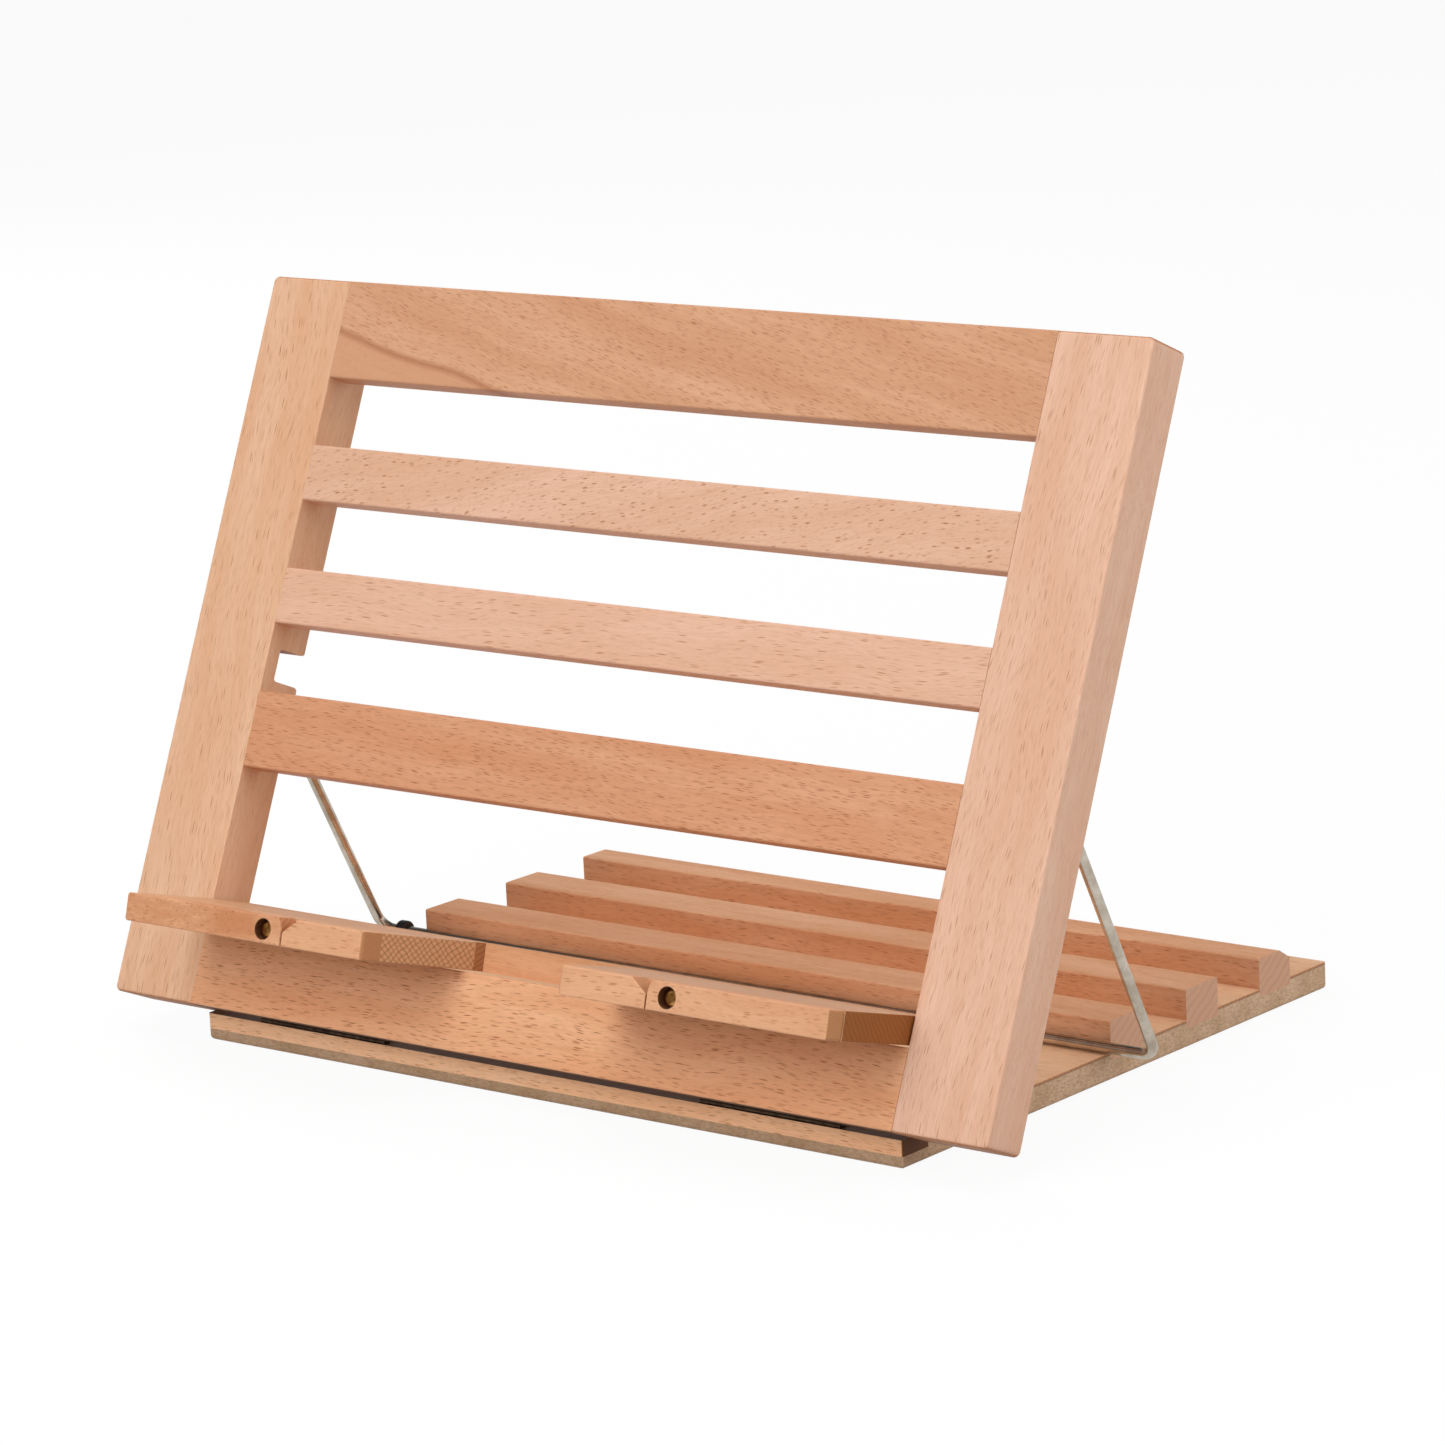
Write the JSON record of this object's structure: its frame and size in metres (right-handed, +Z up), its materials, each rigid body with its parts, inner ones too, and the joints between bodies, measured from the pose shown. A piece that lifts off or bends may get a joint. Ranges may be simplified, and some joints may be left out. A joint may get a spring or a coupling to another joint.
{
  "type": "book stand",
  "caption": "Folding beech book stand: slatted leaning frame on a flat base, wire prop in a rack, flip-up ledge and swinging page holders.",
  "frame": {"origin": "centre of the base's underside, on the surface it stands on", "axes": "+Z up, +X to the right for a reader facing the pages, -Y towards the reader"},
  "size_m": [0.395, 0.2931, 0.2632],
  "materials": {
    "beech": "sanded, clear matt oil",
    "beech_light": "sanded, clear matt oil",
    "veneer": "sanded veneer",
    "board": "raw fibreboard edge",
    "wire_steel": "bright drawn wire",
    "hinge_steel": "plated steel",
    "brass": "bright",
    "black_rubber": "matt black"
  },
  "bodies": {
    "base": {"base_board": "board", "top_veneer": "veneer", "hinge_strip": "beech_light", "rack_bar_front": "beech", "rack_bar_middle": "beech", "rack_bar_rear": "beech", "left_hinge_base_leaf": "hinge_steel", "right_hinge_base_leaf": "hinge_steel", "left_hinge_pin": "hinge_steel", "right_hinge_pin": "hinge_steel", "base_hinge_screws": "hinge_steel"},
    "frame": {"left_stile": "beech", "right_stile": "beech", "bottom_rail": "beech", "mid_rail": "beech", "lower_slat": "beech", "upper_slat": "beech", "top_rail": "beech", "rail_dowels": "beech", "left_hinge_frame_leaf": "hinge_steel", "right_hinge_frame_leaf": "hinge_steel", "frame_hinge_screws": "hinge_steel"},
    "prop": {"wire_prop": "wire_steel", "rubber_ring": "black_rubber"},
    "ledge": {"ledge_spine": "beech", "left_shelf": "beech", "right_shelf": "beech", "left_lip_block": "beech", "right_lip_block": "beech", "left_ledge_pin": "hinge_steel", "right_ledge_pin": "hinge_steel", "left_holder_screw": "brass", "right_holder_screw": "brass"},
    "left_holder": {"left_page_holder": "beech"},
    "right_holder": {"right_page_holder": "beech"}
  },
  "joints": [
    {"name": "frame_tilt", "type": "hinge", "parent": "base", "child": "frame", "pos_m": [0, -0.1255, 0.0106], "axis": [1, 0, 0], "range_deg": [0, 23.6]},
    {"name": "prop_swing", "type": "hinge", "parent": "frame", "child": "prop", "pos_m": [0, -0.06865, 0.12724], "axis": [1, 0, 0], "range_deg": [-8.3, 0]},
    {"name": "ledge_flip", "type": "hinge", "parent": "frame", "child": "ledge", "pos_m": [0, -0.1167, 0.04474], "axis": [-1, 0, 0], "range_deg": [0, 97.5]},
    {"name": "left_holder_swing", "type": "hinge", "parent": "ledge", "child": "left_holder", "pos_m": [-0.0912, -0.1605, 0.05738], "axis": [0, 0.9608, -0.2773], "range_deg": [0, 144]},
    {"name": "right_holder_swing", "type": "hinge", "parent": "ledge", "child": "right_holder", "pos_m": [0.0912, -0.1605, 0.05738], "axis": [0, -0.9608, 0.2773], "range_deg": [0, 144]}
  ],
  "couplings": [
    {"joint": "prop_swing", "follows": "frame_tilt", "ratio": -0.35}
  ]
}
